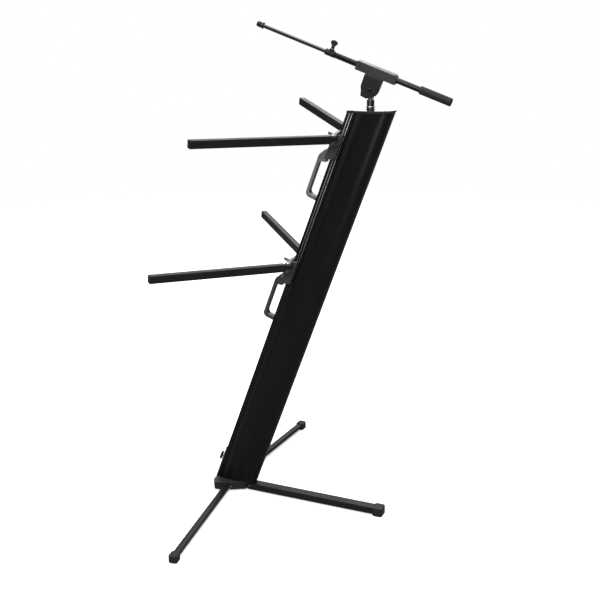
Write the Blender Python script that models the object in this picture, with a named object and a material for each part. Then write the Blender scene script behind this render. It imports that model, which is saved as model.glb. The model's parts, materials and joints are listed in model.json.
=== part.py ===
"""Column keyboard stand: a leaning hollow column on three folding legs, two sliding carriages with
splayed arms and grip-shaped lock levers, and a telescoping microphone boom on top.

World frame: Z up, the floor at z = 0, X across the stand, the player at -Y. The column leans to +Y.
Column frame (x, n, s): x across, n towards the audience, s up along the column.
Boom frame (x, t, q): t square to the boom, q along it towards the microphone.
"""

import math

import bmesh
import bpy
from mathutils import Matrix, Vector

MM = 0.001
GAP = 0.3 * MM  # between pieces that touch
SLIDE = 0.3 * MM  # round a piece that slides or turns in another

# Column
LEAN = math.radians(19.64)
FOOT_Y = 9.7 * MM
FOOT_Z = 35.8 * MM
COLUMN_LENGTH = 1200 * MM
COLUMN_HALF_DEPTH = 56.8 * MM  # from the middle to the player edge
COLUMN_NOSE_N = 61.2 * MM  # the tip of the audience edge
RAIL_HALF_WIDTH = 17 * MM
RAIL_END_N = -40.4 * MM
FACE_START_N = -38.4 * MM
FACE_HALF_WIDTH = 21 * MM
BULGE_HALF_WIDTH = 26.5 * MM
NOSE_START_N = 45.2 * MM
COLUMN_WALL = 2.8 * MM
MITRE = math.radians(22.5)
SLOT_HALF_MOUTH = 6.2 * MM
SLOT_LIP = 4 * MM
SLOT_HALF_WIDTH = 12.5 * MM
SLOT_DEPTH = 9 * MM
SLOT_WEB = 3.6 * MM
GROOVE_HALF = 0.6 * MM
GROOVE_DEPTH = 0.8 * MM
RAIL_GROOVES = (-48 * MM, -43.3 * MM)
FACE_GROOVES = (-23 * MM, -18 * MM, 37 * MM, 42.6 * MM)

# Top of the column
CAP_THICKNESS = 7 * MM
CAP_LIP = 0.8 * MM
POST_FORWARD = 2.531 * MM  # from the column's middle, towards the player
POST_SEAT_RISE = 2.512 * MM  # above the column's top at its middle
POST_RADIUS = 10 * MM
POST_LENGTH = 27.6 * MM
POST_STUD_RADIUS = 5 * MM
POST_STUD_LENGTH = 38 * MM
RING_RADIUS = 12.6 * MM
RING_RISE = 7.3 * MM
RING_HEIGHT = 3.4 * MM
INSERT_LENGTH = 64 * MM
BRACE_S = 690.5 * MM
BRACE_HEIGHT = 22 * MM
FACE_SCREW_N = 16 * MM
TOP_SCREW_DOWN = 53.5 * MM
SCREW_RADIUS = 2 * MM
SCREW_HEAD_RADIUS = 3.4 * MM
SCREW_HEAD = 1.8 * MM
SCREW_LENGTH = 16 * MM

# Hub
HUB_LOW_Z = 4 * MM
HUB_TOP_Z = 30 * MM
HUB_OUTLINE = ((8, 60), (37.5, 7), (48.5, -18), (58, -41), (15, -66))
HUB_NOSE_Y = 74 * MM
HUB_CHAMFER = 5 * MM
SPIGOT_HALF_WIDTH = 18 * MM
SPIGOT_N = (-35.5 * MM, 37 * MM)
SPIGOT_TOP_S = 64 * MM

# Legs
LEG_AXIS_Z = 13.5 * MM
SIDE_LEG_LENGTH = 426 * MM  # from the pivot to the end of the rubber cap
REAR_LEG_LENGTH = 421 * MM
SIDE_LEG_WIDTH = 17.6 * MM
SIDE_LEG_HEIGHT = 12.5 * MM
SIDE_LEG_WALL = 1.8 * MM
SIDE_LEG_TURN = math.radians(5.8)
SIDE_PIVOT = (38 * MM, -8.8 * MM)
REAR_LEG_WIDTH = 29 * MM
REAR_LEG_HEIGHT = 20 * MM
REAR_LEG_WALL = 4 * MM
REAR_PIVOT_Y = 54 * MM
LEG_CORNER = 1.6 * MM
LEG_PIN_RADIUS = 2.5 * MM
LEG_PIN_LENGTH = 30 * MM
CAP_WALL = 2 * MM
CAP_SIDE = 3.8 * MM
CAP_END = 4 * MM
CAP_REACH = 26 * MM

# Foot bracket and its pull pin
BRACKET_HALF_WIDTH = 9 * MM
BRACKET_THICKNESS = 4.5 * MM
BRACKET_S = (-53 * MM, 81 * MM)
BRACKET_CHAMFER = 6 * MM
BRACKET_SCREW_S = -34 * MM
BRACKET_SCREW_LENGTH = 22 * MM
PIN_S = 37 * MM
PIN_RADIUS = 3 * MM
PIN_STEM_RADIUS = 2.5 * MM
PIN_SHOULDER_RADIUS = 4.9 * MM
PIN_SHOULDER = 1.5 * MM
PIN_ENGAGED = 5 * MM
PIN_SEAT = 3 * MM
PIN_KNOB_LENGTH = 26 * MM
PIN_KNOB_WIDTH = 9 * MM
PIN_KNOB_DEPTH = 7 * MM
PIN_KNOB_STANDOFF = 4 * MM
SPRING_WIRE_RADIUS = 0.5 * MM
SPRING_RADIUS = 4 * MM
SPRING_TURNS = 5
SPRING_POINTS = 10

# Carriages, the same piece on both tiers
UPPER_S = COLUMN_LENGTH - 90.7 * MM
LOWER_S = 726.9 * MM
CHEEK_HALF_WIDTH = 30 * MM
CHEEK_END_N = -41 * MM
CARRIAGE_FRONT = 11 * MM
CARRIAGE_TOP_S = 4 * MM
CARRIAGE_LOW_S = -66 * MM
CARRIAGE_END_SLOPE = 0.4
BOSS_HALF_WIDTH = 12 * MM
BOSS_HEIGHT = 3 * MM
BOSS_S = (-47 * MM, -18 * MM)
SHOE_S = (-55 * MM, 0)
DRAW_S = -7.5 * MM
DRAW_RADIUS = 7.3 * MM
DRAW_LENGTH = 18.5 * MM
DRAW_SHANK_RADIUS = 3 * MM
WASHER_RADIUS = 9.5 * MM
WASHER_THICKNESS = 1.5 * MM

# Arms
ARM_PLANE_TILT = math.radians(4.87)
ARM_SPLAY = math.radians(48.9)
ARM_HINGE_X = 62 * MM
ARM_HINGE_N = -54.5 * MM
ARM_DROP_S = -2.3 * MM
ARM_LENGTH = 396.5 * MM
ARM_WIDTH = 18 * MM
ARM_HEIGHT = 21 * MM
ARM_WALL = 1.5 * MM
ARM_CORNER = 1.4 * MM
ARM_ROOT = 10.5 * MM
ARM_BLOCK = 20 * MM
ARM_TIP = 2.2 * MM
EAR_RADIUS = 8.5 * MM
TONGUE_HEIGHT = 11.2 * MM
TONGUE_HALF_WIDTH = 6.2 * MM
EAR_DROP = 7 * MM  # below the arm
EAR_CHAMFER = 4.5 * MM
ARM_PIN_RADIUS = 3 * MM
ARM_PIN_HEAD_RADIUS = 5.6 * MM
ARM_PIN_HEAD = 2 * MM
WING_FRONT = 10 * MM
WING_KNEE_X = 48 * MM

# Lock levers
LEVER_PIVOT_N = -74 * MM
LEVER_PIVOT_S = -57 * MM
LEVER_HALF_WIDTH = 9.5 * MM
LEVER_EYE_RADIUS = 7.8 * MM
LEVER_LUG_HALF_WIDTH = 4.7 * MM
LEVER_OUTER_N = -92.5 * MM
LEVER_GRIP = 8.6 * MM
LEVER_FOOT = 11 * MM
LEVER_OUTER_CORNER = 14 * MM
LEVER_INNER_CORNER = 11 * MM
LEVER_TOE_GAP = 1.7 * MM
LEVER_END_S = -195 * MM
LEVER_PIN_RADIUS = 2.5 * MM
LEVER_PIN_HEAD_RADIUS = 4.6 * MM
LEVER_PIN_HEAD = 1.2 * MM

# Microphone boom
BOOM_TILT = math.radians(18.3)
BOOM_SET_BACK = 16 * MM
BOOM_RISE = 43.5 * MM
CLUTCH_RISE = 25.9 * MM
SWIVEL_HALF_WIDTH = 5.7 * MM
SWIVEL_EYE_RADIUS = 9 * MM
SWIVEL_STEM_RADIUS = 5.6 * MM
SWIVEL_STEM = 20 * MM
HOUSING_HALF_WIDTH = 13 * MM
HOUSING_OUTLINE = (
    (27.2, -12.3), (27.5, -45.5), (22.5, -58.3), (20.3, -69.8), (4.2, -71.6),
    (-13.9, -61.2), (-17.8, -50.1), (-19.3, -32.4), (-20.6, -12.3),
)
CLUTCH_BOLT_RADIUS = 3 * MM
CLUTCH_HEAD_RADIUS = 5.5 * MM
CLUTCH_HEAD = 3 * MM
CLUTCH_KNOB_RADIUS = 14 * MM
CLUTCH_KNOB = 14 * MM
CLAMP_Q = (-56 * MM, 57 * MM)
CLAMP_HALF_WIDTH = 12 * MM
CLAMP_HALF_HEIGHT = 12 * MM
CLAMP_RECESS_Q = 46 * MM
TUBE_RADIUS = 7.5 * MM
TUBE_WALL = 1.2 * MM
TUBE_Q = (-200 * MM, 122 * MM)
GRIP_RADIUS = 10.8 * MM
GRIP_Q = (-208.5 * MM, -121 * MM)
ROD_RADIUS = 5 * MM
ROD_Q = (20 * MM, 345 * MM)
ROD_GLIDE_RADIUS = 6 * MM
ROD_GLIDE = 8 * MM
COLLAR_RADIUS = 8.2 * MM
COLLAR_LENGTH = 27 * MM
COLLAR_SCREW_Q = 133 * MM
COLLAR_BOSS_T = 12.2 * MM
COLLAR_WASHER_RADIUS = 9 * MM
COLLAR_WASHER = 1.2 * MM
WING_KNOB_T = (19 * MM, 35 * MM)
WING_KNOB_HALF_SPAN = 10 * MM
WING_KNOB_THICKNESS = 4 * MM
ADAPTER_RADIUS = 7.4 * MM
ADAPTER_FLANGE_RADIUS = 8.8 * MM
ADAPTER_Q = (333 * MM, 351 * MM)

COS_LEAN = math.cos(LEAN)
SIN_LEAN = math.sin(LEAN)
TILT_TO_COLUMN = LEAN - ARM_PLANE_TILT
POST_Y = FOOT_Y + COLUMN_LENGTH * SIN_LEAN - POST_FORWARD
POST_SEAT_Z = FOOT_Z + COLUMN_LENGTH * COS_LEAN + POST_SEAT_RISE
POST_TOP_Z = POST_SEAT_Z + POST_LENGTH
RING_LOW_Z = POST_SEAT_Z + RING_RISE
INSERT_LOW_S = COLUMN_LENGTH - INSERT_LENGTH
TOP_SCREW_S = COLUMN_LENGTH - TOP_SCREW_DOWN
CLUTCH_Z = POST_TOP_Z + CLUTCH_RISE
BOOM_Y = POST_Y + BOOM_SET_BACK
BOOM_Z = CLUTCH_Z + BOOM_RISE
WEB_FRONT_N = -COLUMN_HALF_DEPTH + SLOT_LIP + SLOT_DEPTH
HOLLOW_START_N = WEB_FRONT_N + SLOT_WEB
CARRIAGE_FRONT_N = -COLUMN_HALF_DEPTH - GAP - CARRIAGE_FRONT
BRACKET_FRONT_N = -COLUMN_HALF_DEPTH - GAP - BRACKET_THICKNESS


def colour(hex_code):
    """Linear RGBA of an sRGB hex code."""
    parts = [int(hex_code[i:i + 2], 16) / 255 for i in (0, 2, 4)]
    return [c / 12.92 if c <= 0.04045 else ((c + 0.055) / 1.055) ** 2.4 for c in parts] + [1]


def material(name, hex_code, roughness, metallic=0.0):
    made = bpy.data.materials.new(name)
    made.use_nodes = True
    shader = made.node_tree.nodes["Principled BSDF"]
    shader.inputs["Base Color"].default_value = colour(hex_code)
    shader.inputs["Roughness"].default_value = roughness
    shader.inputs["Metallic"].default_value = metallic
    return made


def frame(name, location, turn=(0, 0, 0), parent=None):
    """An empty that other pieces hang from."""
    empty = bpy.data.objects.new(name, None)
    empty.location = location
    empty.rotation_euler = turn
    empty.parent = parent
    bpy.context.scene.collection.objects.link(empty)
    return empty


def part(name, shape, look, parent=None, origin=(0, 0, 0), turn=(0, 0, 0), soften=0.0):
    """A named piece. The shape is given in the parent's axes and kept there, with its origin moved."""
    bmesh.ops.translate(shape, verts=shape.verts, vec=-Vector(origin))
    bmesh.ops.recalc_face_normals(shape, faces=shape.faces)
    mesh = bpy.data.meshes.new(name)
    shape.to_mesh(mesh)
    shape.free()
    mesh.shade_smooth()
    mesh.set_sharp_from_angle(angle=math.radians(32))
    made = bpy.data.objects.new(name, mesh)
    made.location = origin
    made.rotation_euler = turn
    made.parent = parent
    if look:
        mesh.materials.append(look)
    bpy.context.scene.collection.objects.link(made)
    if soften:
        bevel = made.modifiers.new("softened edges", "BEVEL")
        bevel.width = soften
        bevel.segments = 1
        bevel.limit_method = "ANGLE"
        bevel.angle_limit = math.radians(40)
    return made


def boolean(target, operation, name, shape, parent=None, origin=(0, 0, 0), turn=(0, 0, 0)):
    """Joins or cuts the target with a hidden helper."""
    helper = part(name, shape, None, parent, origin, turn)
    helper.hide_render = True
    helper.display_type = "WIRE"
    step = target.modifiers.new(name, "BOOLEAN")
    step.operation = operation
    step.solver = "EXACT"
    step.object = helper


def cut(target, name, shape, parent=None, origin=(0, 0, 0), turn=(0, 0, 0)):
    boolean(target, "DIFFERENCE", name, shape, parent, origin, turn)


def join(target, name, shape, parent=None, origin=(0, 0, 0), turn=(0, 0, 0)):
    boolean(target, "UNION", name, shape, parent, origin, turn)


def extruded(outline, low, high, along="Z"):
    """A solid from an outline, which lies in (x, y) along Z or in (y, z) along X. Each end is a
    height, or a function of the outline's second coordinate for a slanted end."""
    shape = bmesh.new()
    ends = []
    for end in (low, high):
        height = end if callable(end) else (lambda _, fixed=end: fixed)
        if along == "Z":
            ends.append([shape.verts.new((a, b, height(b))) for a, b in outline])
        else:
            ends.append([shape.verts.new((height(b), a, b)) for a, b in outline])
    shape.faces.new(ends[0])
    shape.faces.new(reversed(ends[1]))
    count = len(outline)
    for i in range(count):
        j = (i + 1) % count
        shape.faces.new((ends[0][i], ends[1][i], ends[1][j], ends[0][j]))
    return shape


def extruded_hollow(loops, low, high):
    """Like extruded along Z with slanted ends, from an outer loop and the holes inside it."""
    shape = bmesh.new()
    rims = ([], [])
    for loop in loops:
        rows = [[shape.verts.new((a, b, end(b))) for a, b in loop] for end in (low, high)]
        for i in range(len(loop)):
            j = (i + 1) % len(loop)
            face = shape.faces.new((rows[0][i], rows[1][i], rows[1][j], rows[0][j]))
            rims[0].append(face.edges[3])
            rims[1].append(face.edges[1])
    for rim in rims:
        bmesh.ops.triangle_fill(shape, use_beauty=True, edges=rim)
    return shape


def box(low, high):
    """A box between two corners."""
    outline = ((low[0], low[1]), (high[0], low[1]), (high[0], high[1]), (low[0], high[1]))
    return extruded(outline, low[2], high[2])


def turned(profile, segments=24):
    """A solid of revolution about Z from (radius, z) points. A zero radius closes the end."""
    shape = bmesh.new()
    rings = []
    for radius, z in profile:
        if radius == 0:
            rings.append([shape.verts.new((0, 0, z))])
            continue
        angles = [2 * math.pi * i / segments for i in range(segments)]
        rings.append([shape.verts.new((radius * math.cos(a), radius * math.sin(a), z)) for a in angles])
    for low, high in zip(rings, rings[1:]):
        for i in range(segments):
            j = (i + 1) % segments
            corners = [low[i % len(low)], low[j % len(low)], high[j % len(high)], high[i % len(high)]]
            corners = list(dict.fromkeys(corners))
            if len(corners) > 2:
                shape.faces.new(corners)
    if len(rings[0]) > 1 and len(rings[-1]) > 1:
        for i in range(segments):
            j = (i + 1) % segments
            shape.faces.new((rings[-1][i], rings[-1][j], rings[0][j], rings[0][i]))
    return shape


def rod(radius, low, high, segments=24):
    """A plain round bar along Z."""
    return turned(((0, low), (radius, low), (radius, high), (0, high)), segments)


def moved(shape, matrix):
    bmesh.ops.transform(shape, matrix=matrix, verts=shape.verts)
    return shape


def along_x(shape, place=(0, 0, 0)):
    """Turns a shape made along Z to lie along X, at a place."""
    return moved(shape, Matrix.Translation(place) @ Matrix.Rotation(math.pi / 2, 4, "Y"))


def along_y(shape, place=(0, 0, 0)):
    """Turns a shape made along Z to lie along Y, at a place."""
    return moved(shape, Matrix.Translation(place) @ Matrix.Rotation(-math.pi / 2, 4, "X"))


def rounded_rectangle(width, height, corner, steps=3):
    """A rectangle's outline about its centre, with arcs at the corners."""
    points = []
    for quarter in range(4):
        cx = (width / 2 - corner) * (1 if quarter in (0, 3) else -1)
        cy = (height / 2 - corner) * (1 if quarter in (0, 1) else -1)
        for i in range(steps + 1):
            angle = math.pi / 2 * (quarter + i / steps)
            points.append((cx + corner * math.cos(angle), cy + corner * math.sin(angle)))
    return points


def arc(centre, radius, start, end, steps):
    """Points of an arc, in degrees."""
    turns = [math.radians(start + (end - start) * i / steps) for i in range(steps + 1)]
    return [(centre[0] + radius * math.cos(a), centre[1] + radius * math.sin(a)) for a in turns]


def half_width(n):
    """Half the column's width at depth n, on the bulging face."""
    return BULGE_HALF_WIDTH - (BULGE_HALF_WIDTH - FACE_HALF_WIDTH) * (n / FACE_START_N) ** 2


def nose(inset, steps=7):
    """The rounded audience edge, a quarter ellipse from the face to the middle."""
    depth = COLUMN_NOSE_N - inset - NOSE_START_N
    width = half_width(NOSE_START_N) - inset
    turns = [math.pi / 2 * i / steps for i in range(steps + 1)]
    return [(width * math.cos(a), NOSE_START_N + depth * math.sin(a)) for a in turns]


def face_points(start, inset, grooves=()):
    """Points along the bulging face from depth start to the nose, with its shallow grooves."""
    step = 9 * MM
    count = max(1, round((NOSE_START_N - start) / step))
    depths = [start + (NOSE_START_N - start) * i / count for i in range(count)]
    depths = [n for n in depths if all(abs(n - groove) > 2 * GROOVE_HALF for groove in grooves)]
    marks = [(n, 0) for n in depths]
    for groove in grooves:
        marks += [(groove - GROOVE_HALF, 0), (groove, GROOVE_DEPTH), (groove + GROOVE_HALF, 0)]
    return [(half_width(n) - inset - deep, n) for n, deep in sorted(marks)]


def both_sides(right):
    """Closes an outline's right half, listed player side first, with its mirror image."""
    left = [(-x, n) for x, n in reversed(right) if x > 1e-9]
    return list(right) + left


def column_outline():
    corner = 1.5 * MM
    edge = [
        (RAIL_HALF_WIDTH - corner, -COLUMN_HALF_DEPTH),
        (RAIL_HALF_WIDTH, -COLUMN_HALF_DEPTH + corner),
    ]
    for groove in RAIL_GROOVES:
        edge += [
            (RAIL_HALF_WIDTH, groove - GROOVE_HALF),
            (RAIL_HALF_WIDTH - GROOVE_DEPTH, groove),
            (RAIL_HALF_WIDTH, groove + GROOVE_HALF),
        ]
    edge.append((RAIL_HALF_WIDTH, RAIL_END_N))
    lip_n = -COLUMN_HALF_DEPTH + SLOT_LIP
    slot = [
        (SLOT_HALF_WIDTH, WEB_FRONT_N),
        (SLOT_HALF_WIDTH, lip_n),
        (SLOT_HALF_MOUTH, lip_n),
        (SLOT_HALF_MOUTH, -COLUMN_HALF_DEPTH),
    ]
    return both_sides(slot + edge + face_points(FACE_START_N, 0, FACE_GROOVES) + nose(0))


def hollow_outline(clearance=0.0, start=None):
    """The column's hollow, or a plug's outline where a clearance is given."""
    inset = COLUMN_WALL + clearance
    corner = RAIL_HALF_WIDTH - COLUMN_WALL
    flank = HOLLOW_START_N + SLOT_WEB + COLUMN_WALL
    if start is None:
        front = [(corner, HOLLOW_START_N)] + face_points(flank, inset)
    else:
        front = face_points(start, inset)
    return both_sides(front + nose(inset))


def plain_outline(lip):
    """The column's outline without slot or grooves, grown by a lip."""
    edge = [
        (RAIL_HALF_WIDTH + lip, -COLUMN_HALF_DEPTH - lip),
        (RAIL_HALF_WIDTH + lip, RAIL_END_N - lip),
    ]
    return both_sides(edge + face_points(FACE_START_N, -lip) + nose(-lip))


def foot_height(z):
    """s along the column where the level plane z crosses depth n."""
    return lambda n: (z - FOOT_Z + SIN_LEAN * n) / COS_LEAN


def top_height(above):
    """s where the mitred top plane, raised by a thickness, crosses depth n."""
    middle = COLUMN_LENGTH + (above - CAP_THICKNESS / 2) / math.cos(MITRE)
    return lambda n: middle + math.tan(MITRE) * n


def build_column(column, looks):
    body = part(
        "column",
        extruded_hollow(
            [column_outline(), hollow_outline()],
            foot_height(HUB_TOP_Z + GAP),
            top_height(0),
        ),
        looks["satin_black"],
        column,
    )
    for name, s in (("upper", TOP_SCREW_S), ("lower", BRACE_S)):
        hole = rod(SCREW_RADIUS + SLIDE, 0, 2 * BULGE_HALF_WIDTH, 16)
        cut(body, f"{name} screw hole", along_x(hole, (0, FACE_SCREW_N, s)), column)
        seat = half_width(FACE_SCREW_N) + GAP * 2
        screw = turned(
            (
                (0, seat - SCREW_LENGTH), (SCREW_RADIUS, seat - SCREW_LENGTH), (SCREW_RADIUS, seat),
                (SCREW_HEAD_RADIUS, seat), (SCREW_HEAD_RADIUS * 0.75, seat + SCREW_HEAD),
                (0, seat + SCREW_HEAD),
            ),
            16,
        )
        part(
            f"face_screw_{name}", along_x(screw), looks["zinc"], column, turn=(0, 0, 0)
        ).location = (0, FACE_SCREW_N, s)
    pin_hole = rod(PIN_RADIUS + SLIDE, WEB_FRONT_N - SLOT_DEPTH, HOLLOW_START_N + COLUMN_WALL, 20)
    cut(body, "pull pin hole", along_y(pin_hole, (0, 0, PIN_S)), column)

    insert = part(
        "top_insert",
        extruded(hollow_outline(GAP, -22 * MM), INSERT_LOW_S, top_height(0)),
        looks["cast_grey"],
        column,
    )
    stud_hole = rod(POST_STUD_RADIUS + SLIDE, -POST_STUD_LENGTH - GAP, CAP_THICKNESS)
    cut(insert, "stud hole", stud_hole, None, (0, 0, 0))
    bpy.data.objects["stud hole"].location = (0, POST_Y, POST_SEAT_Z)
    hole = rod(SCREW_RADIUS + SLIDE, 0, 2 * BULGE_HALF_WIDTH, 16)
    cut(insert, "insert screw hole", along_x(hole, (SCREW_LENGTH / 2, FACE_SCREW_N, TOP_SCREW_S)), column)

    brace = part(
        "middle_brace",
        extruded(
            hollow_outline(GAP, -30 * MM), BRACE_S - BRACE_HEIGHT / 2, BRACE_S + BRACE_HEIGHT / 2
        ),
        looks["cast_grey"],
        column,
    )
    hole = rod(SCREW_RADIUS + SLIDE, 0, 2 * BULGE_HALF_WIDTH, 16)
    cut(brace, "brace screw hole", along_x(hole, (SCREW_LENGTH / 2, FACE_SCREW_N, BRACE_S)), column)

    cap = part(
        "top_cap",
        extruded(plain_outline(CAP_LIP), top_height(GAP), top_height(CAP_THICKNESS)),
        looks["gloss_black"],
        column,
    )
    seat = turned(
        (
            (0, -2 * CAP_THICKNESS), (POST_STUD_RADIUS + SLIDE, -2 * CAP_THICKNESS),
            (POST_STUD_RADIUS + SLIDE, 0), (RING_RADIUS + 2 * GAP, 0),
            (RING_RADIUS + 2 * GAP, CAP_THICKNESS), (0, CAP_THICKNESS),
        ),
        32,
    )
    cut(cap, "post seat", seat)
    bpy.data.objects["post seat"].location = (0, POST_Y, POST_SEAT_Z)


def hub_body():
    right = [(x * MM, y * MM) for x, y in HUB_OUTLINE]
    left = [(-x, y) for x, y in reversed(right)]
    outline = [(0, HUB_NOSE_Y)] + right + left
    shape = extruded(outline, HUB_LOW_Z, HUB_TOP_Z)
    rim = [e for e in shape.edges if all(abs(v.co.z - HUB_LOW_Z) < 1e-6 for v in e.verts)]
    bmesh.ops.bevel(shape, geom=rim, offset=HUB_CHAMFER, segments=1, affect="EDGES")
    return shape


def build_hub(column, looks):
    hub = part("base_hub", hub_body(), looks["cast_black"])
    spigot = extruded(
        rounded_rectangle(2 * SPIGOT_HALF_WIDTH, SPIGOT_N[1] - SPIGOT_N[0], 3 * MM),
        foot_height((HUB_LOW_Z + HUB_TOP_Z) / 2),
        SPIGOT_TOP_S,
    )
    middle = (SPIGOT_N[0] + SPIGOT_N[1]) / 2
    join(hub, "spigot", moved(spigot, Matrix.Translation((0, middle, 0))), column)
    pin_hole = rod(PIN_RADIUS + SLIDE, SPIGOT_N[0] - PIN_SEAT, SPIGOT_N[0] + PIN_ENGAGED + PIN_SEAT, 20)
    cut(hub, "spigot pin hole", along_y(pin_hole, (0, 0, PIN_S)), column)
    cut(hub, "front face", box((-0.1, -0.2, -0.2), (0.1, -COLUMN_HALF_DEPTH, 0.2)), column)
    screw_hole = rod(SCREW_RADIUS + SLIDE, -COLUMN_HALF_DEPTH - GAP, BRACKET_FRONT_N + 26 * MM, 16)
    cut(hub, "bracket screw hole", along_y(screw_hole, (0, 0, BRACKET_SCREW_S)), column)

    half = SIDE_LEG_WIDTH / 2 + SLIDE
    reach = SIDE_LEG_HEIGHT / 2 + SLIDE
    for side, name in ((1, "left"), (-1, "right")):
        place = (side * SIDE_PIVOT[0], SIDE_PIVOT[1], LEG_AXIS_Z)
        turn = (0, 0, SIDE_LEG_TURN if side > 0 else math.pi - SIDE_LEG_TURN)
        slot = box((-reach, -half, -0.02), (0.06, half, reach))
        cut(hub, f"{name} leg slot", slot)
        bpy.data.objects[f"{name} leg slot"].location = place
        bpy.data.objects[f"{name} leg slot"].rotation_euler = turn
        bore = along_y(rod(LEG_PIN_RADIUS + SLIDE, -LEG_PIN_LENGTH / 2 - GAP, LEG_PIN_LENGTH, 16))
        if side < 0:
            bore = moved(bore, Matrix.Rotation(math.pi, 4, "Z"))
        cut(hub, f"{name} leg bore", bore)
        bpy.data.objects[f"{name} leg bore"].location = place
        bpy.data.objects[f"{name} leg bore"].rotation_euler = turn

    shoulder = REAR_PIVOT_Y - REAR_LEG_HEIGHT / 2 - SLIDE
    ceiling = LEG_AXIS_Z + REAR_LEG_HEIGHT / 2 + SLIDE
    tongue = REAR_LEG_WIDTH / 2 - REAR_LEG_WALL - SLIDE
    for side, name in ((1, "left"), (-1, "right")):
        low, high = sorted((side * tongue, side * 0.05))
        cut(hub, f"{name} of tongue", box((low, shoulder, -0.01), (high, 0.1, ceiling)))
    cut(
        hub,
        "end of tongue",
        box((-0.05, REAR_PIVOT_Y + REAR_LEG_HEIGHT / 2 - REAR_LEG_WALL / 2, -0.01), (0.05, 0.1, ceiling)),
    )
    bore = along_x(rod(LEG_PIN_RADIUS + SLIDE, -0.03, 0.03, 16), (0, REAR_PIVOT_Y, LEG_AXIS_Z))
    cut(hub, "rear leg bore", bore)


def build_bracket(column, looks):
    back = -COLUMN_HALF_DEPTH - GAP
    foot, head = BRACKET_S
    outline = (
        (back, foot), (back, head), (BRACKET_FRONT_N, head - BRACKET_CHAMFER),
        (BRACKET_FRONT_N, foot + BRACKET_CHAMFER / 2), (BRACKET_FRONT_N + BRACKET_CHAMFER / 3, foot),
    )
    bracket = part(
        "foot_bracket",
        extruded(outline, -BRACKET_HALF_WIDTH, BRACKET_HALF_WIDTH, "X"),
        looks["satin_black"],
        column,
        soften=1 * MM,
    )
    bore_end = BRACKET_FRONT_N + PIN_SEAT
    bore = turned(
        (
            (0, BRACKET_FRONT_N - PIN_SEAT), (PIN_STEM_RADIUS + SLIDE, BRACKET_FRONT_N - PIN_SEAT),
            (PIN_STEM_RADIUS + SLIDE, bore_end), (PIN_SHOULDER_RADIUS + SLIDE, bore_end),
            (PIN_SHOULDER_RADIUS + SLIDE, back + PIN_SEAT), (0, back + PIN_SEAT),
        )
    )
    cut(bracket, "pull pin bore", along_y(bore, (0, 0, PIN_S)), column)
    screw_hole = rod(SCREW_RADIUS + SLIDE, BRACKET_FRONT_N - PIN_SEAT, back + PIN_SEAT, 16)
    cut(bracket, "screw clearance", along_y(screw_hole, (0, 0, BRACKET_SCREW_S)), column)
    seat = BRACKET_FRONT_N - GAP
    screw = turned(
        (
            (0, seat - SCREW_HEAD), (SCREW_HEAD_RADIUS, seat - SCREW_HEAD), (SCREW_HEAD_RADIUS, seat),
            (SCREW_RADIUS, seat), (SCREW_RADIUS, seat + BRACKET_SCREW_LENGTH),
            (0, seat + BRACKET_SCREW_LENGTH),
        ),
        16,
    )
    part("bracket_screw", along_y(screw), looks["zinc"], column).location = (0, 0, BRACKET_SCREW_S)

    shoulder_end = WEB_FRONT_N - GAP
    shoulder = shoulder_end - PIN_SHOULDER
    knob_back = BRACKET_FRONT_N - PIN_KNOB_STANDOFF
    stem_end = knob_back - PIN_KNOB_DEPTH * 0.7
    tip = SPIGOT_N[0] + PIN_ENGAGED
    pin = turned(
        (
            (0, stem_end), (PIN_STEM_RADIUS, stem_end), (PIN_STEM_RADIUS, shoulder),
            (PIN_SHOULDER_RADIUS, shoulder), (PIN_SHOULDER_RADIUS, shoulder_end),
            (PIN_RADIUS, shoulder_end), (PIN_RADIUS, tip - 1 * MM), (PIN_RADIUS - 1 * MM, tip), (0, tip),
        )
    )
    part("pull_pin", along_y(pin), looks["zinc"], column).location = (0, 0, PIN_S)
    outline = rounded_rectangle(PIN_KNOB_WIDTH, PIN_KNOB_LENGTH, 2.5 * MM)
    knob = moved(
        extruded(outline, knob_back - PIN_KNOB_DEPTH, knob_back),
        Matrix.Rotation(-math.pi / 2, 4, "X"),
    )
    knob = part("pull_pin_knob", knob, looks["matte_black"], column, soften=0.8 * MM)
    knob.location = (0, 0, PIN_S)
    socket = rod(PIN_STEM_RADIUS + SLIDE, stem_end - GAP, knob_back + PIN_SEAT)
    cut(knob, "knob socket", along_y(socket, (0, 0, PIN_S)), column)
    build_spring(column, looks, bore_end + GAP, shoulder - GAP)


def build_spring(column, looks, start, end):
    """The pull pin's compression spring, one unbroken helix round the stem."""
    low = start + SPRING_WIRE_RADIUS
    high = end - SPRING_WIRE_RADIUS
    count = SPRING_TURNS * SPRING_POINTS
    curve = bpy.data.curves.new("pin_spring", "CURVE")
    curve.dimensions = "3D"
    curve.bevel_depth = SPRING_WIRE_RADIUS
    curve.bevel_resolution = 1
    curve.use_fill_caps = True
    spline = curve.splines.new("POLY")
    spline.points.add(count)
    for i in range(count + 1):
        angle = 2 * math.pi * i / SPRING_POINTS
        n = low + (high - low) * i / count
        place = (SPRING_RADIUS * math.cos(angle), n, PIN_S + SPRING_RADIUS * math.sin(angle))
        spline.points[i].co = (*place, 1)
    print("spring: gap between turns", round(((high - low) / SPRING_TURNS - 2 * SPRING_WIRE_RADIUS) / MM, 2))
    curve.materials.append(looks["zinc"])
    spring = bpy.data.objects.new("pin_spring", curve)
    spring.parent = column
    bpy.context.scene.collection.objects.link(spring)


def leg_shape(width, height, wall, corner, end):
    """A hollow leg along +X, from behind its pivot at the origin to its end."""
    outline = rounded_rectangle(width, height, corner)
    hollow = rounded_rectangle(width - 2 * wall, height - 2 * min(wall, 2.5 * MM), corner / 2)
    start = -height / 2
    shape = extruded_hollow([outline, hollow], lambda _: start, lambda _: end)
    return moved(shape, Matrix.Rotation(math.pi / 2, 4, "X") @ Matrix.Rotation(math.pi / 2, 4, "Y"))


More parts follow.
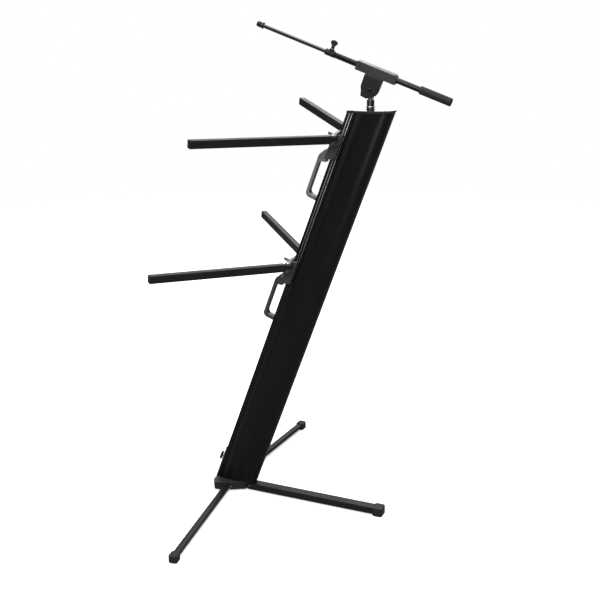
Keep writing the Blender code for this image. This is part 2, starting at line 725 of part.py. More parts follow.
def leg_end_cutter(width, height):
    """What lies outside the round end of a leg, about its pivot."""
    round_end = arc((0, 0), height / 2, 262, 98, 12)
    edge = round_end[0][0]
    over = height
    outline = [(-over, -over), (edge, -over)] + round_end + [(edge, over), (-over, over)]
    return moved(extruded(outline, -width, width), Matrix.Rotation(math.pi / 2, 4, "X"))


def foot_cap(width, height):
    """A rubber cap over a leg's end, from the floor up round the leg. Its origin is on the leg's axis."""
    outer = width + 2 * CAP_SIDE
    top = height / 2 + CAP_WALL
    shape = box((-CAP_REACH, -outer / 2, -LEG_AXIS_Z), (CAP_END, outer / 2, top))
    upright = [e for e in shape.edges if abs(e.verts[0].co.z - e.verts[1].co.z) > 1 * MM]
    bmesh.ops.bevel(shape, geom=upright, offset=3 * MM, segments=2, affect="EDGES")
    return shape


def build_leg(name, place, heading, width, height, wall, length, looks):
    """A leg, its rubber cap and its hinge pin, along a heading from its pivot."""
    hinge = frame(f"{name}_hinge", place, (0, 0, heading))
    tip = length - CAP_END - GAP
    leg = part(name, leg_shape(width, height, wall, LEG_CORNER, tip), looks["powder_black"], hinge)
    cut(leg, f"{name} round end", leg_end_cutter(width, height), hinge)
    bore = rod(LEG_PIN_RADIUS + SLIDE, -width, width, 16)
    cut(leg, f"{name} bore", along_y(bore), hinge)
    tip = length - CAP_END
    cap = part(f"{name}_foot", foot_cap(width, height), looks["rubber"], hinge, soften=1 * MM)
    cap.location = (tip, 0, 0)
    socket = box(
        (-CAP_REACH - CAP_END, -width / 2 - GAP, -height / 2 - GAP),
        (0, width / 2 + GAP, height / 2 + GAP),
    )
    cut(cap, f"{name} socket", socket, hinge)
    bpy.data.objects[f"{name} socket"].location = (tip, 0, 0)
    return hinge, leg


def build_legs(looks):
    for side, name in ((1, "left"), (-1, "right")):
        place = (side * SIDE_PIVOT[0], SIDE_PIVOT[1], LEG_AXIS_Z)
        heading = SIDE_LEG_TURN if side > 0 else math.pi - SIDE_LEG_TURN
        hinge, _ = build_leg(
            f"leg_{name}",
            place,
            heading,
            SIDE_LEG_WIDTH,
            SIDE_LEG_HEIGHT,
            SIDE_LEG_WALL,
            SIDE_LEG_LENGTH,
            looks,
        )
        pin = rod(LEG_PIN_RADIUS, -LEG_PIN_LENGTH / 2, LEG_PIN_LENGTH / 2, 16)
        part(f"leg_{name}_pin", along_y(pin), looks["zinc"], hinge)
    place = (0, REAR_PIVOT_Y, LEG_AXIS_Z)
    hinge, leg = build_leg(
        "leg_rear",
        place,
        math.pi / 2,
        REAR_LEG_WIDTH,
        REAR_LEG_HEIGHT,
        REAR_LEG_WALL,
        REAR_LEG_LENGTH,
        looks,
    )
    half = REAR_LEG_WIDTH / 2 - REAR_LEG_WALL + SLIDE
    notch = box((-REAR_LEG_HEIGHT, -half, -REAR_LEG_HEIGHT), (REAR_LEG_HEIGHT * 0.8, half, REAR_LEG_HEIGHT))
    cut(leg, "fork notch", notch, hinge)
    pin = rod(LEG_PIN_RADIUS, -REAR_LEG_WIDTH / 2 + GAP, REAR_LEG_WIDTH / 2 - GAP, 16)
    part("leg_rear_pin", along_y(pin), looks["zinc"], hinge)


def wing_outline():
    """The crossbar that carries both arm hinges, seen along the hinges."""
    right = [(CHEEK_HALF_WIDTH, -WING_FRONT), (WING_KNEE_X, -EAR_RADIUS)]
    right += arc((ARM_HINGE_X, 0), EAR_RADIUS, -90, 135, 10)
    right += [(CHEEK_HALF_WIDTH - 4 * MM, -1 * MM)]
    left = [(-x, w) for x, w in reversed(right)]
    return right + left


def build_carriage(tier, place, column, looks):
    carrier = frame(f"{tier}_carriage_frame", (0, 0, place), parent=column)
    arm_plane = frame(
        f"{tier}_arm_plane", (0, ARM_HINGE_N, ARM_DROP_S), (TILT_TO_COLUMN, 0, 0), carrier
    )

    def end(level):
        middle = (CARRIAGE_FRONT_N + CHEEK_END_N) / 2
        return lambda n: level + CARRIAGE_END_SLOPE * (n - middle)

    outline = both_sides(
        [(0, CARRIAGE_FRONT_N), (CHEEK_HALF_WIDTH, CARRIAGE_FRONT_N), (CHEEK_HALF_WIDTH, CHEEK_END_N)]
        + [(0, CHEEK_END_N)]
    )
    body = part(
        f"{tier}_carriage",
        extruded(outline, end(CARRIAGE_LOW_S), end(CARRIAGE_TOP_S)),
        looks["cast_grey"],
        carrier,
    )
    underside = -ARM_HEIGHT / 2 - EAR_DROP
    wings = extruded(wing_outline(), underside, ARM_HEIGHT / 2)
    rim = [e for e in wings.edges if all(abs(v.co.z - underside) < 1e-6 for v in e.verts)]
    bmesh.ops.bevel(wings, geom=rim, offset=EAR_CHAMFER, segments=1, affect="EDGES")
    join(body, f"{tier} wings", wings, arm_plane)
    boss = box(
        (-BOSS_HALF_WIDTH, CARRIAGE_FRONT_N - BOSS_HEIGHT, BOSS_S[0]),
        (BOSS_HALF_WIDTH, CARRIAGE_FRONT_N + BOSS_HEIGHT, BOSS_S[1]),
    )
    join(body, f"{tier} boss", boss, carrier)
    pivot = (0, LEVER_PIVOT_N, LEVER_PIVOT_S)
    reach = LEVER_EYE_RADIUS + 2 * SLIDE
    below = 3 * LEVER_EYE_RADIUS
    pocket = [(-reach, -below), (reach, -below)] + arc((0, 0), reach, 0, 180, 12)
    half = LEVER_HALF_WIDTH + SLIDE
    cut(body, f"{tier} lever pocket", extruded(pocket, -half, half, "X"), carrier)
    bpy.data.objects[f"{tier} lever pocket"].location = pivot
    reach = LEVER_EYE_RADIUS - GAP
    back = CARRIAGE_FRONT_N + 6 * MM - LEVER_PIVOT_N
    lug = [(back, 14 * MM)] + arc((0, 0), reach, 90, 270, 10) + [(back, -reach)]
    join(
        body, f"{tier} lever lug", extruded(lug, -LEVER_LUG_HALF_WIDTH, LEVER_LUG_HALF_WIDTH, "X"), carrier
    )
    bpy.data.objects[f"{tier} lever lug"].location = pivot
    rail = box(
        (-RAIL_HALF_WIDTH - SLIDE, -COLUMN_HALF_DEPTH - SLIDE, -0.15),
        (RAIL_HALF_WIDTH + SLIDE, 0.05, 0.1),
    )
    cut(body, f"{tier} rail space", rail, carrier)
    draw_hole = rod(DRAW_SHANK_RADIUS + SLIDE, CARRIAGE_FRONT_N - PIN_SEAT, CHEEK_END_N, 20)
    cut(body, f"{tier} draw hole", along_y(draw_hole, (0, 0, DRAW_S)), carrier)
    lever_bore = along_x(rod(LEVER_PIN_RADIUS + SLIDE, -0.02, 0.02, 16))
    cut(body, f"{tier} lever bore", lever_bore, carrier)
    bpy.data.objects[f"{tier} lever bore"].location = (0, LEVER_PIVOT_N, LEVER_PIVOT_S)

    build_draw_bolt(tier, carrier, looks)
    build_lever(tier, carrier, looks)
    for side, name in ((1, "left"), (-1, "right")):
        build_arm(tier, name, side, body, arm_plane, looks)


def build_draw_bolt(tier, carrier, looks):
    """The chrome barrel nut, its washer, and the shoe that it pulls against the slot's lips."""
    lip_n = -COLUMN_HALF_DEPTH + SLOT_LIP
    low, high = SHOE_S
    shoe = part(
        f"{tier}_clamp_shoe",
        box(
            (-SLOT_HALF_WIDTH + SLIDE, lip_n + SLIDE, low),
            (SLOT_HALF_WIDTH - SLIDE, WEB_FRONT_N - SLIDE, high),
        ),
        looks["zinc"],
        carrier,
    )
    shank_end = WEB_FRONT_N - 2 * MM
    hole = rod(DRAW_SHANK_RADIUS + SLIDE, lip_n - PIN_SEAT, WEB_FRONT_N + PIN_SEAT, 20)
    cut(shoe, f"{tier} shoe hole", along_y(hole, (0, 0, DRAW_S)), carrier)
    washer_back = CARRIAGE_FRONT_N - GAP
    washer_front = washer_back - WASHER_THICKNESS
    inner = DRAW_SHANK_RADIUS + SLIDE
    washer = turned(
        (
            (inner, washer_front), (WASHER_RADIUS - 1 * MM, washer_front),
            (WASHER_RADIUS, washer_back), (inner, washer_back),
        )
    )
    part(f"{tier}_draw_washer", along_y(washer), looks["bright_steel"], carrier).location = (0, 0, DRAW_S)
    head_back = washer_front - GAP
    head_front = head_back - DRAW_LENGTH
    edge = 1 * MM
    bolt = turned(
        (
            (0, head_front), (DRAW_RADIUS - edge, head_front), (DRAW_RADIUS, head_front + edge),
            (DRAW_RADIUS, head_back), (DRAW_SHANK_RADIUS, head_back), (DRAW_SHANK_RADIUS, shank_end),
            (0, shank_end),
        )
    )
    part(f"{tier}_draw_bolt", along_y(bolt), looks["chrome"], carrier).location = (0, 0, DRAW_S)


def lever_outline():
    """The lever seen from the side, in (n, s) about its pivot: an eye, a grip bar and two returns."""
    outer = LEVER_OUTER_N - LEVER_PIVOT_N
    inner = outer + LEVER_GRIP
    end = LEVER_END_S - LEVER_PIVOT_S
    toe = -COLUMN_HALF_DEPTH - LEVER_TOE_GAP - LEVER_PIVOT_N
    eye = LEVER_EYE_RADIUS
    wide, tight = LEVER_OUTER_CORNER, LEVER_INNER_CORNER
    foot = end + LEVER_FOOT
    return (
        arc((outer + wide, end + wide), wide, 270, 180, 6)
        + [(outer, -20 * MM), (outer + 1.5 * MM, -13 * MM), (outer + 6.5 * MM, -5 * MM)]
        + arc((0, 0), eye, 155, 0, 8)
        + [(eye, -27 * MM), (inner + 5 * MM, -30 * MM), (inner, -36 * MM)]
        + arc((inner + tight, foot + tight), tight, 180, 270, 5)
        + [(toe, foot), (toe, end)]
    )


def build_lever(tier, carrier, looks):
    look = looks["lever_grey"] if tier == "upper" else looks["lever_dark"]
    lever = part(
        f"{tier}_lock_lever",
        extruded(lever_outline(), -LEVER_HALF_WIDTH, LEVER_HALF_WIDTH, "X"),
        look,
        carrier,
    )
    pivot = (0, LEVER_PIVOT_N, LEVER_PIVOT_S)
    lever.location = pivot
    slot = LEVER_LUG_HALF_WIDTH + SLIDE
    reach = LEVER_EYE_RADIUS + 1 * MM
    outline = [(reach, -reach), (2 * reach, -reach), (2 * reach, 2 * reach), (0, 2 * reach)]
    outline += arc((0, 0), reach, 90, 270, 12)
    cut(lever, f"{tier} lever slot", extruded(outline, -slot, slot, "X"), carrier)
    bpy.data.objects[f"{tier} lever slot"].location = pivot
    bore = along_x(rod(LEVER_PIN_RADIUS + SLIDE, -0.02, 0.02, 16))
    cut(lever, f"{tier} lever pin bore", bore, carrier)
    bpy.data.objects[f"{tier} lever pin bore"].location = pivot
    reach = LEVER_HALF_WIDTH + GAP
    pin = turned(
        (
            (0, -reach - LEVER_PIN_HEAD), (LEVER_PIN_HEAD_RADIUS, -reach - LEVER_PIN_HEAD),
            (LEVER_PIN_HEAD_RADIUS, -reach), (LEVER_PIN_RADIUS, -reach), (LEVER_PIN_RADIUS, reach),
            (LEVER_PIN_HEAD_RADIUS, reach), (LEVER_PIN_HEAD_RADIUS, reach + LEVER_PIN_HEAD),
            (0, reach + LEVER_PIN_HEAD),
        ),
        16,
    )
    part(f"{tier}_lever_pin", along_x(pin), looks["zinc"], carrier).location = pivot


def build_arm(tier, name, side, body, arm_plane, looks):
    """An arm along local +X from its hinge, with its end cap and hinge pin."""
    place = (side * ARM_HINGE_X, 0, 0)
    heading = -math.pi / 2 + side * ARM_SPLAY
    hinge = frame(f"{tier}_arm_{name}_hinge", place, (0, 0, heading), arm_plane)
    slot_height = TONGUE_HEIGHT / 2 + SLIDE
    slot_radius = math.hypot(TONGUE_HALF_WIDTH, EAR_RADIUS) + 2 * SLIDE
    cut(body, f"{tier} {name} ear slot", rod(slot_radius, -slot_height, slot_height, 32), arm_plane)
    bpy.data.objects[f"{tier} {name} ear slot"].location = place
    bore = rod(ARM_PIN_RADIUS + SLIDE, -ARM_HEIGHT - EAR_DROP, ARM_HEIGHT, 20)
    cut(body, f"{tier} {name} ear bore", bore, arm_plane)
    bpy.data.objects[f"{tier} {name} ear bore"].location = place

    outline = rounded_rectangle(ARM_HEIGHT, ARM_WIDTH, ARM_CORNER)
    hollow = rounded_rectangle(ARM_HEIGHT - 2 * ARM_WALL, ARM_WIDTH - 2 * ARM_WALL, ARM_CORNER / 2)
    tube_end = ARM_LENGTH - ARM_TIP - GAP
    tube = extruded_hollow([outline, hollow], lambda _: ARM_ROOT, lambda _: tube_end)
    arm = part(
        f"{tier}_arm_{name}", moved(tube, Matrix.Rotation(math.pi / 2, 4, "Y")), looks["powder_black"], hinge
    )
    grow = ARM_WALL / 2
    block = box(
        (ARM_ROOT, -ARM_WIDTH / 2 + grow, -ARM_HEIGHT / 2 + grow),
        (ARM_ROOT + ARM_BLOCK, ARM_WIDTH / 2 - grow, ARM_HEIGHT / 2 - grow),
    )
    join(arm, f"{tier} {name} root block", block, hinge)
    half = TONGUE_HALF_WIDTH
    tongue = arc((0, 0), half, 90, 270, 10) + [(ARM_ROOT + ARM_BLOCK / 2, -half), (ARM_ROOT + ARM_BLOCK / 2, half)]
    join(arm, f"{tier} {name} tongue", extruded(tongue, -TONGUE_HEIGHT / 2, TONGUE_HEIGHT / 2), hinge)
    cut(arm, f"{tier} {name} bore", rod(ARM_PIN_RADIUS + SLIDE, -ARM_HEIGHT, ARM_HEIGHT, 20), hinge)

    tip = moved(
        extruded(outline, tube_end + GAP, ARM_LENGTH), Matrix.Rotation(math.pi / 2, 4, "Y")
    )
    end_cap = part(f"{tier}_arm_{name}_cap", tip, looks["matte_black"], hinge)
    plug = rounded_rectangle(
        ARM_HEIGHT - 2 * ARM_WALL - 2 * GAP, ARM_WIDTH - 2 * ARM_WALL - 2 * GAP, ARM_CORNER / 2
    )
    plug = moved(extruded(plug, tube_end - 12 * MM, ARM_LENGTH - 1 * MM), Matrix.Rotation(math.pi / 2, 4, "Y"))
    join(end_cap, f"{tier} {name} plug", plug, hinge)

    ear = ARM_HEIGHT / 2
    foot = -ear - EAR_DROP
    pin = turned(
        (
            (0, foot), (ARM_PIN_RADIUS, foot), (ARM_PIN_RADIUS, ear + GAP), (ARM_PIN_HEAD_RADIUS, ear + GAP),
            (ARM_PIN_HEAD_RADIUS, ear + GAP + ARM_PIN_HEAD / 2), (ARM_PIN_HEAD_RADIUS * 0.7, ear + GAP + ARM_PIN_HEAD),
            (0, ear + GAP + ARM_PIN_HEAD),
        ),
        20,
    )
    part(f"{tier}_arm_{name}_pin", pin, looks["zinc"], arm_plane).location = place


def build_post(looks):
    seat = POST_SEAT_Z + GAP
    foot = seat - POST_STUD_LENGTH
    bore = SWIVEL_STEM_RADIUS + SLIDE
    bore_end = POST_TOP_Z - SWIVEL_STEM - GAP
    edge = 0.8 * MM
    post = turned(
        (
            (0, foot), (POST_STUD_RADIUS, foot), (POST_STUD_RADIUS, seat), (POST_RADIUS, seat),
            (POST_RADIUS, POST_TOP_Z - edge), (POST_RADIUS - edge, POST_TOP_Z), (bore, POST_TOP_Z),
            (bore, bore_end), (0, bore_end),
        ),
        32,
    )
    part("mic_post", post, looks["chrome"]).location = (0, POST_Y, 0)
    inner = POST_RADIUS + GAP
    top = RING_LOW_Z + RING_HEIGHT
    ring = turned(
        (
            (inner, RING_LOW_Z), (RING_RADIUS - edge, RING_LOW_Z), (RING_RADIUS, RING_LOW_Z + edge),
            (RING_RADIUS, top - edge), (RING_RADIUS - edge, top), (inner, top),
        ),
        32,
    )
    part("post_ring", ring, looks["chrome"]).location = (0, POST_Y, 0)


def build_clutch(boom, looks):
    """The swivel head in the post, and the housing that tilts on it."""
    level = POST_TOP_Z + GAP
    tongue = [(-SWIVEL_STEM_RADIUS - 1 * MM, level), (SWIVEL_STEM_RADIUS + 1 * MM, level)]
    tongue += arc((0, CLUTCH_Z), SWIVEL_EYE_RADIUS, -10, 190, 12)
    head = part(
        "swivel_head", extruded(tongue, -SWIVEL_HALF_WIDTH, SWIVEL_HALF_WIDTH, "X"), looks["zinc"]
    )
    head.location = (0, POST_Y, 0)
    stem = rod(SWIVEL_STEM_RADIUS, POST_TOP_Z - SWIVEL_STEM, POST_TOP_Z + 3 * MM)
    join(head, "swivel stem", stem)
    bpy.data.objects["swivel stem"].location = (0, POST_Y, 0)
    bore = along_x(rod(CLUTCH_BOLT_RADIUS + SLIDE, -0.02, 0.02, 20))
    cut(head, "swivel bore", bore)
    bpy.data.objects["swivel bore"].location = (0, POST_Y, CLUTCH_Z)

    centre = Vector((0, POST_Y, CLUTCH_Z))
    pivot = frame("clutch_pivot", centre, (math.pi / 2 - BOOM_TILT, 0, 0))
    shift = boom_point(centre)
    outline = [(t * MM - shift[1], q * MM - shift[2]) for q, t in HOUSING_OUTLINE]
    housing = part(
        "clutch_housing",
        extruded(outline, -HOUSING_HALF_WIDTH, HOUSING_HALF_WIDTH, "X"),
        looks["matte_black"],
        pivot,
        soften=1.5 * MM,
    )
    inner = SWIVEL_HALF_WIDTH + SLIDE
    roof = SWIVEL_EYE_RADIUS + 2 * MM
    slot = box((-inner, -0.04, -0.04), (inner, roof, 0.04))
    cut(housing, "housing slot", slot, pivot)
    bolt_hole = along_x(rod(CLUTCH_BOLT_RADIUS + SLIDE, -0.03, 0.03, 20))
    cut(housing, "housing bolt hole", bolt_hole, pivot)
    reach = HOUSING_HALF_WIDTH + GAP
    knob_end = -reach - CLUTCH_KNOB * 0.6
    bolt = turned(
        (
            (0, knob_end), (CLUTCH_BOLT_RADIUS, knob_end), (CLUTCH_BOLT_RADIUS, reach),
            (CLUTCH_HEAD_RADIUS, reach), (CLUTCH_HEAD_RADIUS, reach + CLUTCH_HEAD * 0.6),
            (CLUTCH_HEAD_RADIUS * 0.7, reach + CLUTCH_HEAD), (0, reach + CLUTCH_HEAD),
        ),
        20,
    )
    part("clutch_bolt", along_x(bolt), looks["zinc"], pivot)
    lobes = 7
    rim = []
    for i in range(lobes * 4):
        angle = 2 * math.pi * i / (lobes * 4)
        radius = CLUTCH_KNOB_RADIUS - 1.2 * MM * (1 - math.cos(lobes * angle)) / 2
        rim.append((radius * math.cos(angle), radius * math.sin(angle)))
    knob = extruded(rim, -reach - CLUTCH_KNOB, -reach)
    knob = part("clutch_knob", moved(knob, Matrix.Rotation(math.pi / 2, 4, "Y")), looks["matte_black"], pivot)
    socket = rod(CLUTCH_BOLT_RADIUS + SLIDE, knob_end - GAP, 0, 20)
    cut(knob, "knob bolt hole", along_x(socket), pivot)


def boom_point(world):
    """A world point in the boom's own axes."""
    y = world[1] - BOOM_Y
    z = world[2] - BOOM_Z
    across = math.sin(BOOM_TILT), math.cos(BOOM_TILT)
    return (world[0], y * across[0] + z * across[1], -y * across[1] + z * across[0])


def build_boom(boom, looks):
    low, high = CLAMP_Q
    chamfer = 2 * MM
    top = CLAMP_HALF_HEIGHT
    outline = (
        (-top, low), (-top, high), (top - chamfer, high), (top, high - chamfer),
        (top, low + 6 * MM), (top - 6 * MM, low),
    )
    clamp = part(
        "boom_clamp",
        extruded(outline, -CLAMP_HALF_WIDTH, CLAMP_HALF_WIDTH, "X"),
        looks["clamp_grey"],
        boom,
        soften=1 * MM,
    )
    cut(clamp, "clamp bore", rod(TUBE_RADIUS + SLIDE, -0.1, 0.1, 32), boom)
    recess = extruded(
        rounded_rectangle(9 * MM, 5 * MM, 2.4 * MM), CLAMP_HALF_WIDTH - 3 * MM, CLAMP_HALF_WIDTH + 1 * MM, "X"
    )
    cut(clamp, "clamp recess", recess, boom)
    bpy.data.objects["clamp recess"].location = (0, -2 * MM, CLAMP_RECESS_Q)

    inner = TUBE_RADIUS - TUBE_WALL
    low, high = TUBE_Q
    tube = turned(((inner, low), (TUBE_RADIUS, low), (TUBE_RADIUS, high), (inner, high)), 28)
    part("boom_tube", tube, looks["gloss_black"], boom)

    low, high = GRIP_Q
    bore = TUBE_RADIUS + SLIDE
    edge = 3 * MM
    grip = turned(
        (
            (0, low), (GRIP_RADIUS - edge, low), (GRIP_RADIUS - edge * 0.3, low + edge * 0.3),
            (GRIP_RADIUS, low + edge), (GRIP_RADIUS, high - edge / 2), (GRIP_RADIUS - edge / 2, high),
            (bore, high), (bore, TUBE_Q[0] - GAP), (0, TUBE_Q[0] - GAP),
        ),
        28,
    )
    part("boom_grip", grip, looks["rubber"], boom)

    low, high = ROD_Q
    rod_shape = turned(
        (
            (0, low), (ROD_GLIDE_RADIUS, low), (ROD_GLIDE_RADIUS, low + ROD_GLIDE),
            (ROD_RADIUS, low + ROD_GLIDE), (ROD_RADIUS, high), (0, high),
        )
    )
    part("boom_rod", rod_shape, looks["gloss_black"], boom)
    build_collar(boom, looks)

    low, high = ADAPTER_Q
    bore = ROD_RADIUS + SLIDE
    edge = 1 * MM
    solid = turned(
        (
            (0, low), (ADAPTER_FLANGE_RADIUS, low), (ADAPTER_FLANGE_RADIUS, low + 2 * MM),
            (ADAPTER_RADIUS, low + 2 * MM), (ADAPTER_RADIUS, high - edge), (ADAPTER_RADIUS - edge, high),
            (0, high),
        )
    )
    tip = part("mic_adapter", solid, looks["zinc_dark"], boom)
    cut(tip, "adapter bore", rod(bore, low - PIN_SEAT, ROD_Q[1] + GAP), boom)


def build_collar(boom, looks):
    """The lock collar at the tube's end, its thumb screw and washer."""
    low = TUBE_Q[1] + GAP
    high = low + COLLAR_LENGTH
    edge = 1.2 * MM
    solid = turned(
        (
            (0, low), (COLLAR_RADIUS, low), (COLLAR_RADIUS, high - edge), (COLLAR_RADIUS - edge, high),
            (0, high),
        ),
        28,
    )
    collar = part("rod_collar", solid, looks["matte_black"], boom)
    boss = moved(rod(6.5 * MM, 3 * MM, COLLAR_BOSS_T, 20), Matrix.Rotation(-math.pi / 2, 4, "X"))
    join(collar, "collar boss", boss, boom)
    bpy.data.objects["collar boss"].location = (0, 0, COLLAR_SCREW_Q)
    cut(collar, "collar bore", rod(ROD_RADIUS + SLIDE, low - 0.01, high + 0.01), boom)
    stem = 2.5 * MM
    screw_low = ROD_RADIUS + 2 * SLIDE
    hole = along_y(rod(stem + SLIDE, 2 * MM, COLLAR_BOSS_T + 2 * MM, 16))
    cut(collar, "collar screw hole", hole, boom)
    bpy.data.objects["collar screw hole"].location = (0, 0, COLLAR_SCREW_Q)

    washer_low = COLLAR_BOSS_T + GAP
    washer_top = washer_low + COLLAR_WASHER
    inner = stem + SLIDE
    washer = turned(
        (
            (inner, washer_low), (COLLAR_WASHER_RADIUS, washer_low), (COLLAR_WASHER_RADIUS, washer_top),
            (inner, washer_top),
        )
    )
    part("collar_washer", along_y(washer), looks["bright_steel"], boom).location = (0, 0, COLLAR_SCREW_Q)

    neck = washer_top + GAP
    wing_low, wing_top = WING_KNOB_T
    screw = turned(
        (
            (0, screw_low), (stem, screw_low), (stem, neck), (5 * MM, neck), (4 * MM, wing_low + 2 * MM),
            (0, wing_low + 2 * MM),
        ),
        20,
    )
    knob = part("collar_thumb_screw", along_y(screw), looks["matte_black"], boom)
    knob.location = (0, 0, COLLAR_SCREW_Q)
    span = WING_KNOB_HALF_SPAN
    fan = [(wing_low, -3.5 * MM), (wing_top - 7 * MM, -span)]
    fan += [(wing_top - 7 * MM + 7 * MM * math.cos(a), span * math.sin(a)) for a in (-0.9, -0.45, 0, 0.45, 0.9)]
    fan += [(wing_top - 7 * MM, span), (wing_low, 3.5 * MM)]
    thick = WING_KNOB_THICKNESS / 2
    join(knob, "thumb wings", extruded(fan, -thick, thick, "X"), boom)
    bpy.data.objects["thumb wings"].location = (0, 0, COLLAR_SCREW_Q)


def centre_in_plan():
    """Moves the whole stand along Y so that the origin lies on the floor under its middle."""
    bpy.context.view_layer.update()
    graph = bpy.context.evaluated_depsgraph_get()
    ends = [math.inf, -math.inf]
    for piece in bpy.data.objects:
        if piece.type not in ("MESH", "CURVE") or piece.hide_render:
            continue
        shown = piece.evaluated_get(graph)
        mesh = shown.to_mesh()
        for vertex in mesh.vertices:
            y = (shown.matrix_world @ vertex.co).y
            ends = [min(ends[0], y), max(ends[1], y)]
        shown.to_mesh_clear()
    shift = -sum(ends) / 2
    for piece in bpy.data.objects:
        if piece.parent is None:
            piece.location.y += shift
    print("moved along Y by", round(shift / MM, 3), "mm")


def main():
    for old in list(bpy.data.objects):
        bpy.data.objects.remove(old, do_unlink=True)
    looks = {
        "satin_black": material("satin black aluminium", "1c1c1d", 0.38, 0.6),
        "gloss_black": material("gloss black steel", "161617", 0.2, 0.4),
        "powder_black": material("black powder coat", "1d1d1e", 0.42, 0.2),
        "cast_black": material("black cast aluminium", "1f1f20", 0.5, 0.3),
        "cast_grey": material("dark grey cast aluminium", "3a3a3c", 0.5, 0.5),
        "matte_black": material("matte black plastic", "1a1a1b", 0.55),
        "clamp_grey": material("grey nylon", "484849", 0.45),
        "lever_grey": material("grey lever", "686869", 0.4, 0.3),
        "lever_dark": material("dark grey lever", "3b3b3c", 0.4, 0.3),
        "rubber": material("black rubber", "161616", 0.75),
        "chrome": material("chrome", "d9dadc", 0.08, 1.0),
        "bright_steel": material("bright steel", "a8a9ab", 0.25, 1.0),
        "zinc": material("zinc plated steel", "8f9194", 0.35, 1.0),
        "zinc_dark": material("blackened steel", "3c3c3e", 0.35, 0.8),
    }
    column = frame("column_frame", (0, FOOT_Y, FOOT_Z), (-LEAN, 0, 0))
    build_column(column, looks)
    build_hub(column, looks)
    build_bracket(column, looks)
    build_legs(looks)
    build_carriage("upper", UPPER_S, column, looks)
    build_carriage("lower", LOWER_S, column, looks)
    build_post(looks)
    boom = frame("boom_frame", (0, BOOM_Y, BOOM_Z), (math.pi / 2 - BOOM_TILT, 0, 0))
    build_clutch(boom, looks)
    build_boom(boom, looks)
    centre_in_plan()


main()
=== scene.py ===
"""Looks of the column keyboard stand: its finishes, finer pieces over its solids, light and camera.

Lengths are in metres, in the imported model's frame: Z up, the player at -Y and the column leaning
towards +Y. The turned sections of the boom are given in millimetres.
"""

import json
import math
import bmesh
import bpy
import numpy as np
from mathutils import Matrix, Vector


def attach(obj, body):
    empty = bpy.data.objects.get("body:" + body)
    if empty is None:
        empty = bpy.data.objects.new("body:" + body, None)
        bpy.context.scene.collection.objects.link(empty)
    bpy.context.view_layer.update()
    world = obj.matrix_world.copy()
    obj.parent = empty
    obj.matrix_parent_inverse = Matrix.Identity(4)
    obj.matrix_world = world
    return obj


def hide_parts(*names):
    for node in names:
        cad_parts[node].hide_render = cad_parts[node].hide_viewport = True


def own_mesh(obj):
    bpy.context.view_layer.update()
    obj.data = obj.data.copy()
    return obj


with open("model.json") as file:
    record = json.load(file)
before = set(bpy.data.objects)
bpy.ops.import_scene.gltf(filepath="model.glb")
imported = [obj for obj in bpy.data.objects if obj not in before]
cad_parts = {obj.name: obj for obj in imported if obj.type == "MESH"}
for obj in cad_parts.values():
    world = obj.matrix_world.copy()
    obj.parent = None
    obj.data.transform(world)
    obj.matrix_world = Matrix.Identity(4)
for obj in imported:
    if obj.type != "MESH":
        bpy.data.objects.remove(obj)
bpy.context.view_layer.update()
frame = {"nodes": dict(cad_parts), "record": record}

NODES = frame["nodes"]
BODY_OF = {
    node: body
    for body, names in frame["record"]["behaviour"]["bodies"].items()
    for node in names
}
MM = 0.001

# The stand's own frames, as in the solids. The plan shift centres the stand on the origin.
PLAN_SHIFT = -280.791 * MM
LEAN = math.radians(19.64)
COLUMN_FOOT_Y = 9.7 * MM
COLUMN_FOOT_Z = 35.8 * MM
COLUMN = Matrix.Translation(
    (0, COLUMN_FOOT_Y + PLAN_SHIFT, COLUMN_FOOT_Z)
) @ Matrix.Rotation(-LEAN, 4, "X")
# From the column's player edge to its audience edge
ACROSS = COLUMN.to_3x3() @ Vector((0, 1, 0))
BOOM_TILT = math.radians(18.3)
BOOM_Y = 426.5 * MM
BOOM_Z = 1265.5 * MM
BOOM = Matrix.Translation((0, BOOM_Y + PLAN_SHIFT, BOOM_Z)) @ Matrix.Rotation(
    math.pi / 2 - BOOM_TILT, 4, "X"
)
BOOM_AXIS = tuple(BOOM.to_3x3() @ Vector((0, 0, 1)))


# Materials


def linear(hex_code):
    """An sRGB hex colour as linear RGBA, by the sRGB curve."""
    parts = [int(hex_code[i : i + 2], 16) / 255 for i in (0, 2, 4)]
    return [c / 12.92 if c <= 0.04045 else ((c + 0.055) / 1.055) ** 2.4 for c in parts] + [1]


def node(tree, kind, links=(), **settings):
    """Adds a shader node with its settings. links joins its inputs to (input, output) sockets."""
    made = tree.nodes.new(kind)
    for key, value in settings.items():
        if key in made.inputs:
            made.inputs[key].default_value = value
        else:
            setattr(made, key, value)
    for key, socket in links:
        tree.links.new(made.inputs[key], socket)
    return made


def blank(name, **shader):
    """A new material, its node tree and its Principled shader with plain socket values."""
    material = bpy.data.materials.new(name)
    material.use_nodes = True
    tree = material.node_tree
    surface = tree.nodes["Principled BSDF"]
    for key, value in shader.items():
        surface.inputs[key.replace("_", " ")].default_value = value
    return material, tree, surface


